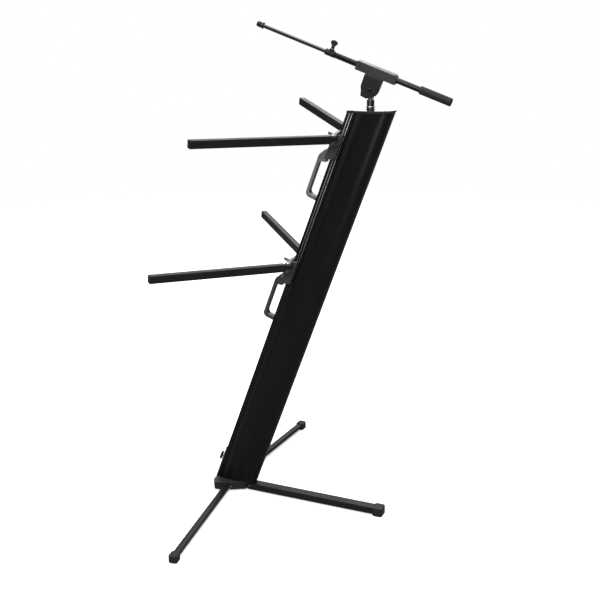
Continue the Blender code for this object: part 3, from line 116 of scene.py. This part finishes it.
def grained(name, dark, pale, rough, grain_mm, bump, stretch=(1, 1, 1), turn=(0, 0, 0), **shader):
    """A finish whose colour and roughness wander slowly, with a fine bump of one grain size.

    dark and pale are the ends of the colour's drift, rough the ends of the roughness, grain_mm the
    bump's grain. stretch draws the grain out along an axis after turn.
    """
    material, tree, surface = blank(name, **shader)
    place = node(tree, "ShaderNodeTexCoord").outputs["Object"]
    turned = node(
        tree, "ShaderNodeMapping", [("Vector", place)], Rotation=turn, Scale=stretch
    ).outputs["Vector"]
    drift = node(
        tree, "ShaderNodeTexNoise", [("Vector", turned)], Scale=22.0, Detail=3.0, Roughness=0.6
    ).outputs["Fac"]
    grain = node(
        tree, "ShaderNodeTexNoise", [("Vector", turned)], Scale=1 / (grain_mm * MM), Detail=2.0
    ).outputs["Fac"]
    mixed = node(tree, "ShaderNodeMix", [("Factor", drift)], data_type="RGBA")
    mixed.inputs[6].default_value = linear(dark)
    mixed.inputs[7].default_value = linear(pale)
    tree.links.new(surface.inputs["Base Color"], mixed.outputs[2])
    spread = node(
        tree, "ShaderNodeMapRange", [("Value", drift)],
        **{"From Min": 0.3, "From Max": 0.7, "To Min": rough[0], "To Max": rough[1]},
    )
    tree.links.new(surface.inputs["Roughness"], spread.outputs["Result"])
    raised = node(
        tree, "ShaderNodeBump", [("Height", grain)], Strength=bump, Distance=grain_mm * MM / 3
    )
    tree.links.new(surface.inputs["Normal"], raised.outputs["Normal"])
    return material


# Black anodised extrusion: satin, with die lines that run up the column.
anodised = grained(
    "black anodised aluminium", "0c0c0d", "131314", (0.34, 0.46), 1.6, 0.25,
    stretch=(1, 1, 0.02), turn=(-LEAN, 0, 0), Specular_IOR_Level=0.12,
)
# Moulded end cap: glossy, so it mirrors the light above it.
gloss_cap = grained(
    "gloss black moulding", "252526", "2e2e2f", (0.1, 0.18), 3.0, 0.04, Specular_IOR_Level=0.45
)
# Powder coat on steel tube: an orange peel of about a millimetre under a semi-gloss skin.
powder = grained(
    "black powder coat on tube", "171718", "212122", (0.4, 0.5), 1.2, 0.18, Specular_IOR_Level=0.12
)
# Painted sand castings: coarser and greyer than the tube. The carriages are the paler ones.
casting = grained(
    "painted cast aluminium", "1c1c1d", "282829", (0.42, 0.55), 1.5, 0.35, Specular_IOR_Level=0.25
)
grey_casting = grained(
    "dark grey cast aluminium", "343435", "424244", (0.38, 0.5), 1.5, 0.35, Specular_IOR_Level=0.3
)
# Lever castings, tumbled smooth. The upper one is the paler of the two.
lever_upper = grained(
    "satin grey cast lever", "6a6a6b", "7e7e7f", (0.4, 0.55), 1.4, 0.3, Metallic=0.3
)
lever_lower = grained(
    "satin dark grey cast lever", "3c3c3d", "4a4a4b", (0.4, 0.55), 1.4, 0.3, Metallic=0.3
)
# Nylon mouldings with a fine spark-eroded texture. Glass fibre makes the boom's clamp greyer.
nylon = grained(
    "black nylon moulding", "131314", "1d1d1e", (0.45, 0.58), 0.9, 0.3, Specular_IOR_Level=0.3
)
grey_nylon = grained(
    "grey glass filled nylon", "2c2c2d", "393939", (0.35, 0.48), 0.9, 0.3, Specular_IOR_Level=0.4
)
# Moulded rubber: matt, with a dusty bloom and hardly a highlight.
rubber = grained(
    "black rubber", "1a1a1a", "262626", (0.6, 0.8), 0.8, 0.4, Specular_IOR_Level=0.25
)
# Stove enamel on the boom's steel: the rod has a sharp highlight, and the tube a broad faint one.
gloss_tube = grained(
    "gloss black painted steel tube", "0b0b0c", "131314", (0.1, 0.17), 1.6, 0.04,
    Specular_IOR_Level=0.6,
)
satin_tube = grained(
    "satin black painted steel tube", "0b0b0c", "131314", (0.24, 0.32), 1.6, 0.06,
    Specular_IOR_Level=0.2,
)
# Chrome and zinc over steel: the zinc is duller and slightly mottled. The chrome is set darker than
# a mirror, because it would vanish against the white studio.
chrome = grained(
    "polished chrome plate", "9fa0a4", "b4b5b9", (0.06, 0.12), 4.0, 0.02, Metallic=1.0
)
zinc = grained(
    "zinc plated steel", "8a8c90", "a4a6aa", (0.25, 0.42), 1.2, 0.12, Metallic=1.0
)
# Chemically blackened and bare drawn steel: both metallic, the first almost black.
blackened = grained(
    "blackened steel", "2c2c2e", "3c3c3f", (0.25, 0.4), 1.2, 0.12, Metallic=0.9
)
sprung = grained(
    "drawn spring steel", "6d6e71", "88898c", (0.22, 0.34), 0.8, 0.1, Metallic=1.0
)


def ridged(material, name, axis, pitch, height):
    """A copy of a finish with ridges across an axis: its bump also follows the sine of the distance
    along that axis, one wave to each pitch."""
    copy = material.copy()
    copy.name = name
    tree = copy.node_tree
    place = node(tree, "ShaderNodeTexCoord").outputs["Object"]
    along = node(tree, "ShaderNodeVectorMath", [(0, place)], operation="DOT_PRODUCT")
    along.inputs[1].default_value = axis
    phase = node(tree, "ShaderNodeMath", [(0, along.outputs["Value"])], operation="MULTIPLY")
    phase.inputs[1].default_value = 2 * math.pi / pitch
    wave = node(tree, "ShaderNodeMath", [(0, phase.outputs["Value"])], operation="SINE")
    fine = next(made for made in tree.nodes if made.type == "BUMP")
    links = [("Height", wave.outputs["Value"]), ("Normal", fine.outputs["Normal"])]
    coarse = node(tree, "ShaderNodeBump", links, Strength=1.0, Distance=height / 2)
    tree.links.new(tree.nodes["Principled BSDF"].inputs["Normal"], coarse.outputs["Normal"])
    return copy


# Heights between which the painted highlight lines on the column grow from their foot share to full
# strength
HIGHLIGHT_FADE_FROM = 0.62
HIGHLIGHT_FADE_TO = 1.14


def tint(tree, share, colour):
    """Lays a colour over the shader's base colour, by a share from 0 to 1."""
    surface = tree.nodes["Principled BSDF"]
    before = surface.inputs["Base Color"].links[0].from_socket
    mixed = node(tree, "ShaderNodeMix", [("Factor", share)], data_type="RGBA")
    tree.links.new(mixed.inputs[6], before)
    mixed.inputs[7].default_value = linear(colour)
    tree.links.new(surface.inputs["Base Color"], mixed.outputs[2])


def painted_highlight_lines(material, depths, colour, half_width, foot_share):
    """Paints thin highlight lines that run up the column at some depths from its middle, where an
    edge catches the light. A line's strength falls from one near its middle to nothing at
    half_width, by the least distance to any of the depths, and towards the foot to foot_share,
    where less light falls."""
    tree = material.node_tree
    place = node(tree, "ShaderNodeTexCoord").outputs["Object"]
    depth = node(tree, "ShaderNodeVectorMath", [(0, place)], operation="DOT_PRODUCT")
    depth.inputs[1].default_value = ACROSS
    middle = ACROSS.dot(COLUMN.translation)
    nearest = None
    for line in depths:
        off = node(tree, "ShaderNodeMath", [(0, depth.outputs["Value"])], operation="SUBTRACT")
        off.inputs[1].default_value = middle + line
        off = node(tree, "ShaderNodeMath", [(0, off.outputs["Value"])], operation="ABSOLUTE")
        if nearest is None:
            nearest = off
        else:
            links = [(0, nearest.outputs["Value"]), (1, off.outputs["Value"])]
            nearest = node(tree, "ShaderNodeMath", links, operation="MINIMUM")
    strength = node(
        tree, "ShaderNodeMapRange", [("Value", nearest.outputs["Value"])],
        **{"From Min": half_width * 0.4, "From Max": half_width, "To Min": 1.0, "To Max": 0.0},
    )
    height = node(tree, "ShaderNodeSeparateXYZ", [("Vector", place)])
    lit_share = node(
        tree, "ShaderNodeMapRange", [("Value", height.outputs["Z"])],
        **{"From Min": HIGHLIGHT_FADE_FROM, "From Max": HIGHLIGHT_FADE_TO, "To Min": foot_share, "To Max": 1.0},
    )
    links = [(0, strength.outputs["Result"]), (1, lit_share.outputs["Result"])]
    share = node(tree, "ShaderNodeMath", links, operation="MULTIPLY")
    tint(tree, share.outputs["Value"], colour)


# Depths from the column's middle: the rail's two edges, and the grooves and edge of the faces
RAIL_EDGES = (-48 * MM, -41 * MM)
FACE_EDGES = (-23 * MM, -18 * MM, 37 * MM, 42.6 * MM, 59.4 * MM)
# Painted highlights: near-white lines along the rail's edges, faint ones along the face's grooves
# and edge
painted_highlight_lines(anodised, RAIL_EDGES, "c0c0c4", 0.8 * MM, 0.03)
painted_highlight_lines(anodised, FACE_EDGES, "232325", 1.0 * MM, 0.2)


def paint_inner_shade(material):
    """Paints shade on a lever's inner faces, which look towards the column: they turn black. The
    share of black rises from 0 to 1 as the normal's part towards the column goes from 0.4 to 0.7."""
    tree = material.node_tree
    normal = node(tree, "ShaderNodeTexCoord").outputs["Normal"]
    facing = node(tree, "ShaderNodeVectorMath", [(0, normal)], operation="DOT_PRODUCT")
    facing.inputs[1].default_value = ACROSS
    share = node(
        tree, "ShaderNodeMapRange", [("Value", facing.outputs["Value"])],
        **{"From Min": 0.4, "From Max": 0.7},
    )
    tint(tree, share.outputs["Result"], "080809")


# Painted shade on the inner faces of both levers' grips
paint_inner_shade(lever_upper)
paint_inner_shade(lever_lower)

# Moulded rings on the collar, drawn coarser than real so that they show
knurled = ridged(nylon, "black nylon with rings", BOOM_AXIS, 3 * MM, 0.5 * MM)


# Shapes


def finish(name, mesh, look, body, replaced, smooth=35):
    """Puts a mesh in the scene as a piece, on its body and in place of its solids. Edges sharper
    than smooth degrees stay creases."""
    cleaner = bmesh.new()
    cleaner.from_mesh(mesh)
    bmesh.ops.recalc_face_normals(cleaner, faces=cleaner.faces)
    cleaner.to_mesh(mesh)
    cleaner.free()
    mesh.shade_smooth()
    mesh.set_sharp_from_angle(angle=math.radians(smooth))
    piece = bpy.data.objects.new(name, mesh)
    piece.data.materials.clear()
    piece.data.materials.append(look)
    bpy.context.scene.collection.objects.link(piece)
    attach(piece, body)
    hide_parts(*replaced)
    return piece


def grid_mesh(name, rings, place, loop):
    """A mesh from rings of points, shape (rings, points, 3): quads join neighbouring rings and go
    round each ring. Both ends are closed flat, or the last ring joins the first with loop."""
    rows, count = rings.shape[:2]
    turn = np.array(place)
    points = rings.reshape(-1, 3) @ turn[:3, :3].T + turn[:3, 3]
    row = np.arange(rows if loop else rows - 1)[:, None]
    i = np.arange(count)[None, :]
    j = (i + 1) % count
    up = (row + 1) % rows
    quads = np.stack(
        [row * count + i, row * count + j, up * count + j, up * count + i], axis=-1
    ).reshape(-1, 4)
    faces = quads.tolist()
    if not loop:
        faces += [list(range(count))[::-1], list(range((rows - 1) * count, rows * count))]
    mesh = bpy.data.meshes.new(name)
    mesh.from_pydata(points.tolist(), [], faces)
    return mesh


def lathe(profile, segments=64):
    """Rings of a (radius, z) profile turned about Z: each point becomes a circle of its radius."""
    radius, height = np.asarray(profile, float).T
    angle = np.linspace(0, 2 * math.pi, segments, endpoint=False)
    return np.stack(
        [
            radius[:, None] * np.cos(angle),
            radius[:, None] * np.sin(angle),
            np.broadcast_to(height[:, None], (len(radius), segments)),
        ],
        axis=-1,
    )


# Corners of a solid closer than this are merged, and faces whose slopes differ by less are joined
MERGE_DISTANCE = 0.003 * MM
FLAT_ANGLE = math.radians(0.5)


def softened(name, look, edge=0.4 * MM, segments=2, crease=32):
    """A merged copy of a solid in place of the solid. Its edges sharper than crease degrees are
    rounded over edge, unless edge is 0."""
    source = NODES[name]
    shape = bmesh.new()
    shape.from_mesh(source.data)
    bmesh.ops.remove_doubles(shape, verts=shape.verts, dist=MERGE_DISTANCE)
    bmesh.ops.dissolve_limit(
        shape, angle_limit=FLAT_ANGLE, verts=shape.verts, edges=shape.edges
    )
    mesh = bpy.data.meshes.new(name + "_piece")
    shape.to_mesh(mesh)
    shape.free()
    piece = finish(name + "_piece", mesh, look, BODY_OF[name], [name], crease)
    if edge:
        bevel = piece.modifiers.new("rounded edges", "BEVEL")
        bevel.width = edge
        bevel.segments = segments
        bevel.limit_method = "ANGLE"
        bevel.angle_limit = math.radians(crease)
        bevel.use_clamp_overlap = False
    return piece


def on_boom(node_name, rings, look, loop=False):
    """A piece from rings about the boom's axis, in place of the node of that name."""
    name = node_name + "_piece"
    mesh = grid_mesh(name, rings, BOOM, loop)
    finish(name, mesh, look, BODY_OF[node_name], [node_name])


# Column and base

softened("column", anodised, edge=0.25 * MM, segments=1, crease=25)
softened("top_cap", gloss_cap, edge=0.9 * MM, segments=3, crease=40)
softened("base_hub", casting, edge=0.8 * MM, crease=30)
softened("foot_bracket", casting, edge=0.5 * MM, crease=30)
for name in ("top_insert", "middle_brace"):
    softened(name, grey_casting, edge=0.3 * MM)

# The face screws' solids stay as they are, in a new finish
for tier in ("upper", "lower"):
    NODES[f"face_screw_{tier}"].data.materials.clear()
    NODES[f"face_screw_{tier}"].data.materials.append(blackened)

for side in ("left", "right", "rear"):
    softened(f"leg_{side}", powder, edge=0.3 * MM, crease=30)
    softened(f"leg_{side}_foot", rubber, edge=0.7 * MM, segments=3, crease=30)
    softened(f"leg_{side}_pin", zinc, edge=0.3 * MM)
softened("pull_pin", zinc, edge=0.2 * MM)
softened("pull_pin_knob", nylon, edge=0.5 * MM, crease=30)
softened("bracket_screw", zinc, edge=0.2 * MM)

# Carriages

for tier, look in (("upper", lever_upper), ("lower", lever_lower)):
    softened(f"{tier}_carriage", grey_casting, edge=0.5 * MM, crease=30)
    softened(f"{tier}_lock_lever", look, edge=1.2 * MM, segments=3, crease=35)
    softened(f"{tier}_lever_pin", zinc, edge=0.2 * MM)
    softened(f"{tier}_clamp_shoe", zinc, edge=0.3 * MM)
    softened(f"{tier}_draw_washer", zinc, edge=0.2 * MM)
    softened(f"{tier}_draw_bolt", chrome, edge=0.3 * MM)
    for side in ("left", "right"):
        softened(f"{tier}_arm_{side}", powder, edge=0.3 * MM, crease=30)
        softened(f"{tier}_arm_{side}_cap", nylon, edge=0.5 * MM, crease=30)
        softened(f"{tier}_arm_{side}_pin", zinc, edge=0.2 * MM)

# Boom

softened("mic_post", chrome, edge=0.2 * MM)
softened("post_ring", chrome, edge=0.2 * MM)
softened("swivel_head", zinc, edge=0.4 * MM)
softened("clutch_housing", nylon, edge=0.6 * MM, crease=30)
softened("clutch_bolt", blackened, edge=0.2 * MM)
softened("clutch_knob", nylon, edge=0.5 * MM)
softened("boom_clamp", grey_nylon, edge=0.6 * MM, crease=30)


# A turned piece starts and ends on a small circle of this radius in mm, which one face closes
POLE_RADIUS = 0.4
# Segments round the tube and the rod, whose long highlights would show coarser ones
FINE_SEGMENTS = 96


def tube_rings():
    """The tube's closed section turned about the boom: a wall from bore to outside, its two outer
    edges broken."""
    bore, outside, chamfer = 6.3, 7.5, 0.1
    low, high = -200, 122
    section = [
        (bore, low), (outside - chamfer, low), (outside, low + 2 * chamfer),
        (outside, high - 2 * chamfer), (outside - chamfer, high), (bore, high),
    ]
    return lathe(np.array(section) * MM, FINE_SEGMENTS)


def rod_rings():
    """The rod's section turned about the boom: a wider glide at its inner end, then the rod."""
    radius, glide, chamfer = 5, 6, 0.2
    low, glide_end, high = 20, 28, 345
    section = [
        (POLE_RADIUS, low), (glide - chamfer, low), (glide, low + chamfer),
        (glide, glide_end - chamfer), (glide - chamfer, glide_end), (radius, glide_end),
        (radius, high - chamfer), (radius - chamfer, high), (POLE_RADIUS, high),
    ]
    return lathe(np.array(section) * MM, FINE_SEGMENTS)


def grip_rings():
    """The grip's closed section turned about the boom: a rounded end, shallow rings and a bore. At
    place q the rings are 0.3 mm deep, by (1 - cos(2 pi (q - start) / 5 mm)) / 2."""
    outside, depth, pitch = 10.8, 0.3, 5
    q = np.linspace(-202, -124, 157)
    wave = depth / 2 * (1 - np.cos(2 * math.pi * (q - q[0]) / pitch))
    ringed = np.column_stack([outside - wave, q])
    end = [
        (POLE_RADIUS, -208.4), (7.6, -208.4), (9.4, -207.9), (10.4, -206.9), (outside, -205.4),
    ]
    mouth = [
        (outside, -122.6), (10.1, -121.4), (8.9, -121.1), (7.7, -121.1), (7.7, -200.4),
        (POLE_RADIUS, -200.4),
    ]
    return lathe(np.concatenate([end, ringed, mouth]) * MM)


def adapter_rings():
    """The adapter's closed section turned about the boom, with a thread from 336 to 349.5 mm: at
    angle a and place q the radius is 7.2 + 0.2 cos(2 pi q / 1.6 mm - a) mm, fading at both ends."""
    radius, height, pitch = 7.2, 0.2, 1.6
    q = np.linspace(336, 349.5, 90)
    thread = np.column_stack([np.full(len(q), radius), q])
    flange = [
        (POLE_RADIUS, 345.4), (5.15, 345.4), (5.15, 333.1), (8.5, 333.1), (8.7, 333.4),
        (8.7, 334.7), (8.5, 334.9), (radius, 335.1),
    ]
    nose = [(6.9, 350.4), (6.3, 350.9), (POLE_RADIUS, 350.9)]
    rings = lathe(np.concatenate([flange, thread, nose]) * MM)
    angle = np.linspace(0, 2 * math.pi, rings.shape[1], endpoint=False)
    fade = np.sin(np.linspace(0, math.pi, len(q))) ** 0.25
    wave = height * fade[:, None] * np.cos(2 * math.pi * q[:, None] / pitch - angle[None, :])
    first = len(flange)
    rings[first : first + len(q), :, :2] *= (1 + wave / radius)[:, :, None]
    return rings


on_boom("boom_tube", tube_rings(), satin_tube, loop=True)
on_boom("boom_grip", grip_rings(), rubber)
on_boom("boom_rod", rod_rings(), gloss_tube)
softened("rod_collar", knurled, edge=0.3 * MM)
softened("collar_thumb_screw", nylon, edge=0.4 * MM)
softened("collar_washer", zinc, edge=0.2 * MM)
on_boom("mic_adapter", adapter_rings(), blackened)


def spring_that_shortens():
    """The pull pin's spring in drawn steel, its edges not rounded, with a mesh of its own. Its
    points are read into an array, which nothing uses."""
    spring = softened("pin_spring", sprung, edge=0, crease=60)
    points = np.empty(3 * len(spring.data.vertices), np.float32)
    spring.data.vertices.foreach_get("co", points)
    points = points.reshape(-1, 3)
    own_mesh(spring)


spring_that_shortens()


# Light, floor and camera

# The way from the camera through the stand, on plan
BEHIND = (-0.93, -0.37, 0.0)
FLOOR_RADIUS = 4.0
FLOOR_DROP = 0.5 * MM
FLOOR_SEGMENTS = 96
# The floor's paint for the camera and for other rays, and its glow for the camera
FLOOR_SEEN = (0.86, 0.86, 0.86, 1)
FLOOR_UNSEEN = (0.3, 0.3, 0.3, 1)
FLOOR_GLOW = 0.45
# Name, place, target, size and watts
LAMPS = (
    ("back softbox", (-3.2, -1.0, 2.6), (0, 0, 0.7), 2.4, 45),
    ("top softbox", (0.2, 0.2, 3.6), (0, 0, 0.6), 1.8, 70),
    ("front softbox", (3.4, 0.4, 2.7), (0, 0, 0.7), 1.1, 70),
)


def studio_world():
    """White for the camera. Other rays see a studio with a white ceiling, a white wall behind the
    stand as the camera sees it, and dark flags to its left and right, so that black metal keeps its
    black."""
    world = bpy.data.worlds.new("studio")
    bpy.context.scene.world = world
    world.use_nodes = True
    tree = world.node_tree
    background = tree.nodes["Background"]
    direction = node(tree, "ShaderNodeTexCoord").outputs["Generated"]
    split = node(tree, "ShaderNodeSeparateXYZ", [("Vector", direction)])
    facing = node(tree, "ShaderNodeVectorMath", [(0, direction)], operation="DOT_PRODUCT")
    facing.inputs[1].default_value = BEHIND
    wall = node(
        tree, "ShaderNodeMapRange", [("Value", facing.outputs["Value"])],
        **{"From Min": 0.45, "From Max": 0.9, "To Min": 0.32, "To Max": 1.0},
    )
    aside = node(tree, "ShaderNodeMath", [(0, split.outputs["Y"])], operation="ABSOLUTE")
    flag = node(
        tree, "ShaderNodeMapRange", [("Value", aside.outputs["Value"])],
        **{"From Min": 0.1, "From Max": 0.6, "To Min": 1.0, "To Max": 0.12},
    )
    links = [(0, wall.outputs["Result"]), (1, flag.outputs["Result"])]
    flagged = node(tree, "ShaderNodeMath", links, operation="MULTIPLY")
    ceiling = node(
        tree, "ShaderNodeMapRange", [("Value", split.outputs["Z"])],
        **{"From Min": 0.2, "From Max": 0.6},
    )
    links = [(0, flagged.outputs["Value"]), (1, ceiling.outputs["Result"])]
    lit = node(tree, "ShaderNodeMath", links, operation="MAXIMUM")
    seen = node(tree, "ShaderNodeLightPath").outputs["Is Camera Ray"]
    links = [("Factor", seen), (2, lit.outputs["Value"])]
    shade = node(tree, "ShaderNodeMix", links, data_type="FLOAT")
    shade.inputs[3].default_value = 1.0
    tree.links.new(background.inputs["Strength"], shade.outputs[0])
    background.inputs["Color"].default_value = (1, 1, 1, 1)


def floor_material():
    """A pale matt floor: white where the camera sees it lit and grey only in shadow. Other rays see
    it dimmer, as a floor beyond the lamps' reach."""
    material, tree, surface = blank("pale studio floor", Roughness=0.9, Specular_IOR_Level=0.0)
    seen = node(tree, "ShaderNodeLightPath").outputs["Is Camera Ray"]
    paint = node(tree, "ShaderNodeMix", [("Factor", seen)], data_type="RGBA")
    paint.inputs[6].default_value = FLOOR_UNSEEN
    paint.inputs[7].default_value = FLOOR_SEEN
    tree.links.new(surface.inputs["Base Color"], paint.outputs[2])
    glow = node(tree, "ShaderNodeMath", [(0, seen)], operation="MULTIPLY")
    glow.inputs[1].default_value = FLOOR_GLOW
    tree.links.new(surface.inputs["Emission Strength"], glow.outputs["Value"])
    surface.inputs["Emission Color"].default_value = (1, 1, 1, 1)
    return material


def build_floor():
    """A flat disc of floor round the stand, a little under its feet. The white studio hides its
    rim."""
    angle = np.linspace(0, 2 * math.pi, FLOOR_SEGMENTS, endpoint=False)
    rim = np.column_stack(
        [
            FLOOR_RADIUS * np.cos(angle), FLOOR_RADIUS * np.sin(angle),
            np.full(FLOOR_SEGMENTS, -FLOOR_DROP),
        ]
    )
    mesh = bpy.data.meshes.new("floor")
    mesh.from_pydata(rim.tolist(), [], [list(range(FLOOR_SEGMENTS))])
    mesh.materials.append(floor_material())
    floor = bpy.data.objects.new("floor", mesh)
    bpy.context.scene.collection.objects.link(floor)


def softbox(name, place, target, size, power):
    """A square area light that faces a target."""
    lamp = bpy.data.lights.new(name, "AREA")
    lamp.shape = "SQUARE"
    lamp.size = size
    lamp.energy = power
    made = bpy.data.objects.new(name, lamp)
    aim = np.asarray(target, float) - np.asarray(place, float)
    made.location = place
    made.rotation_euler = Vector(aim).to_track_quat("-Z", "Y").to_euler()
    bpy.context.scene.collection.objects.link(made)


def build_camera():
    """The photograph's camera, fitted to the stand: its lens in pixels over the picture's width,
    its place, how far it looks down and how far it is turned from facing +Y."""
    sensor, lens_pixels, picture_pixels = 36, 1125.2, 600
    place = (2.7543, 1.3532 + PLAN_SHIFT, 1.6483)
    down, turned = math.radians(18.9615), math.radians(112.477)
    lens = bpy.data.cameras.new("camera")
    lens.sensor_width = sensor
    lens.lens = sensor * lens_pixels / picture_pixels
    camera = bpy.data.objects.new("camera", lens)
    camera.location = place
    camera.rotation_euler = (math.pi / 2 - down, 0, turned)
    bpy.context.scene.collection.objects.link(camera)
    bpy.context.scene.camera = camera


studio_world()
build_floor()
for lamp in LAMPS:
    softbox(*lamp)
build_camera()
bpy.context.scene.view_settings.view_transform = "Standard"
